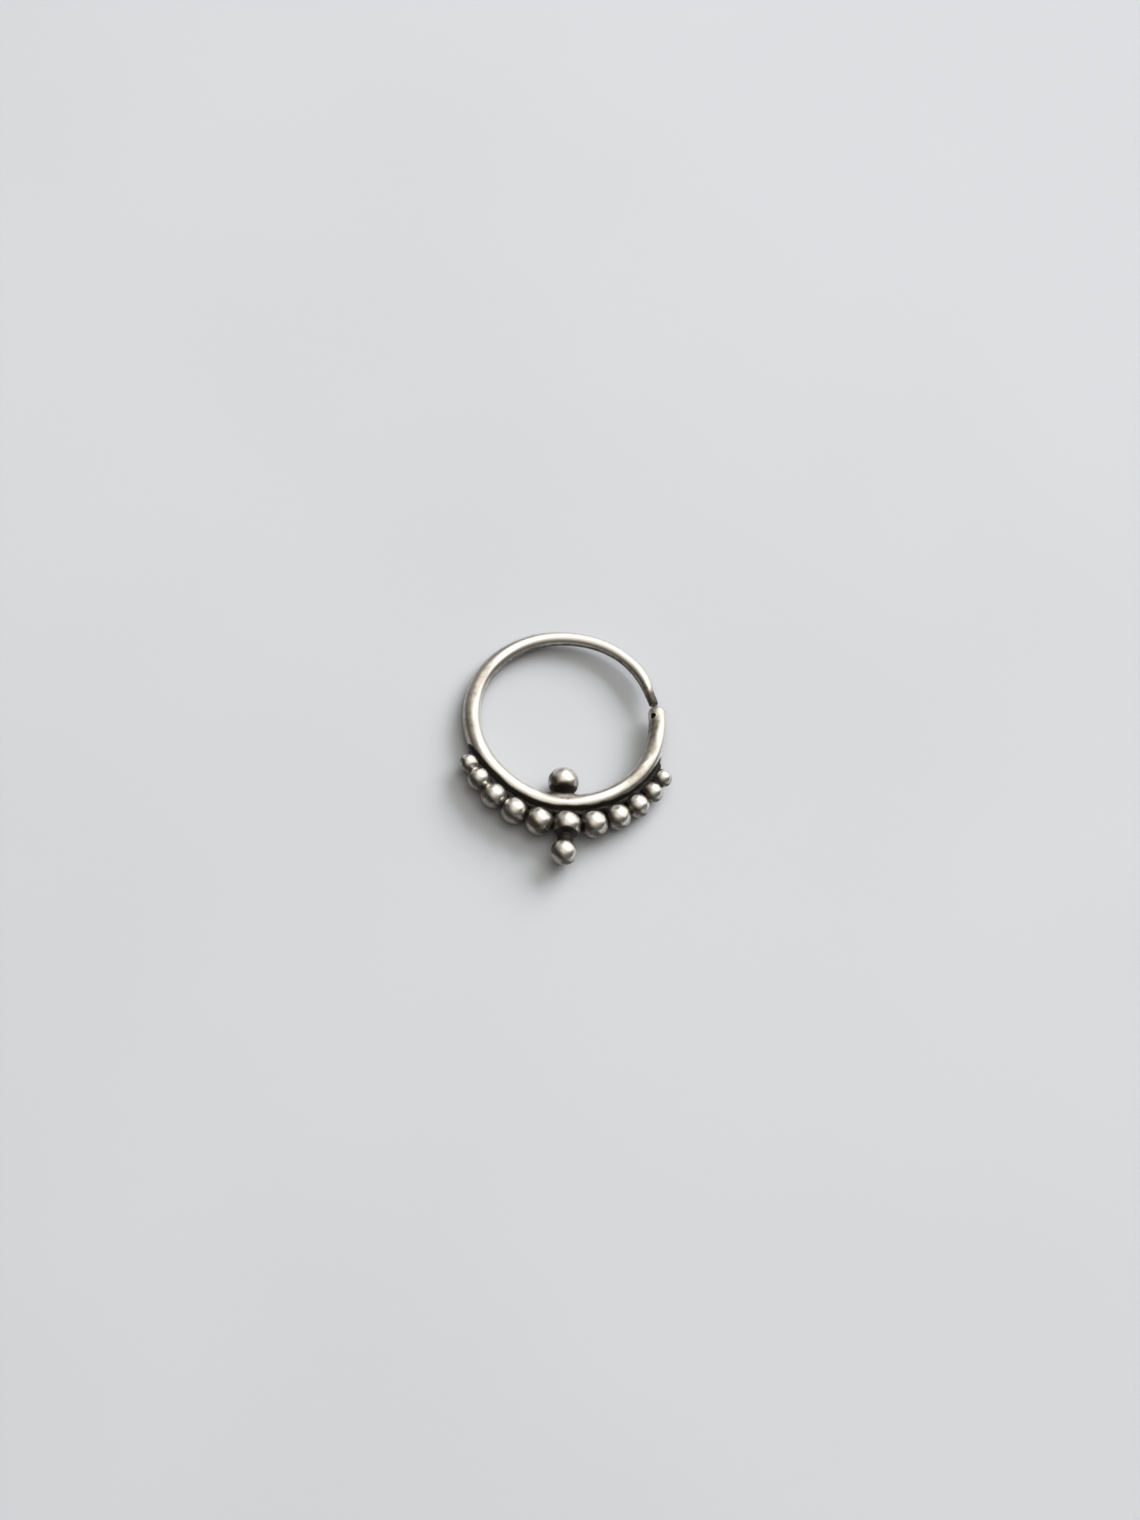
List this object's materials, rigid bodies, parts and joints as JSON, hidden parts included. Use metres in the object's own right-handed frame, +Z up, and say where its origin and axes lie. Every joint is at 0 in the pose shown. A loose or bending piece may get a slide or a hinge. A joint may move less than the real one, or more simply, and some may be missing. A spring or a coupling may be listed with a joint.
{
  "type": "septum ring",
  "caption": "Small oxidised silver nose ring: a round wire hoop with a row of graduated balls along its outer side, one ball inside and a drop ball below.",
  "frame": {"origin": "on the surface that the ring lies on, under the middle of its outline", "axes": "+Z up, +Y from the drop ball towards the thin arc that is worn in the piercing, +X towards the opening"},
  "size_m": [0.0114, 0.014, 0.0017],
  "materials": {
    "silver": "polished sterling silver, blackened in the recesses between the wire and the balls"
  },
  "bodies": {
    "root": {"beaded_hoop": "silver"}
  },
  "joints": []
}
